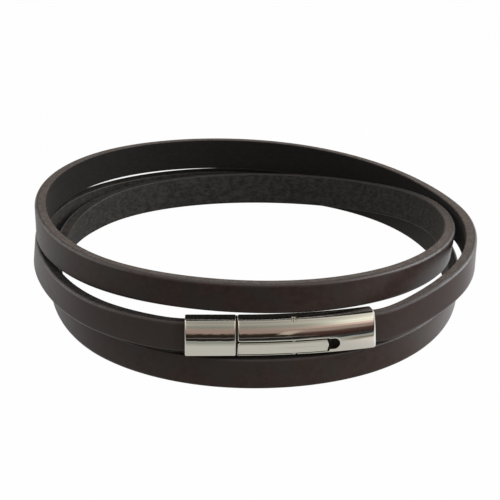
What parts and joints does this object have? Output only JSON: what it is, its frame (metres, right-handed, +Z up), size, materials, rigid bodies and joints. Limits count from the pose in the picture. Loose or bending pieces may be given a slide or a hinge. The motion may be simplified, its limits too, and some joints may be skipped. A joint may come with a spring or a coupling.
{
  "type": "leather wrap bracelet",
  "caption": "Flat leather strap wound into a ring of stacked turns, its ends joined at the front by a polished steel clasp with a flush rocking lever.",
  "frame": {"origin": "centre of the ring's bounding box, on the surface that it lies on", "axes": "+Z up through the wrist hollow, the clasp at the front towards -Y, its end cap towards -X and its housing towards +X"},
  "size_m": [0.0782, 0.0782, 0.019],
  "materials": {
    "leather": "dark brown smooth grain, matte",
    "steel": "mirror-polished stainless steel"
  },
  "bodies": {
    "bracelet": {"strap": "leather", "end_cap": "steel", "housing": "steel", "pivot_pin": "steel"},
    "lever": {"lever": "steel"}
  },
  "joints": [
    {"name": "lever_hinge", "type": "hinge", "parent": "bracelet", "child": "lever", "pos_m": [0.00675, -0.03735, 0.00754], "axis": [-0.0155, 0.1383, 0.9903], "range_deg": [0, 6], "stiffness_Nm_per_rad": 0.05}
  ]
}
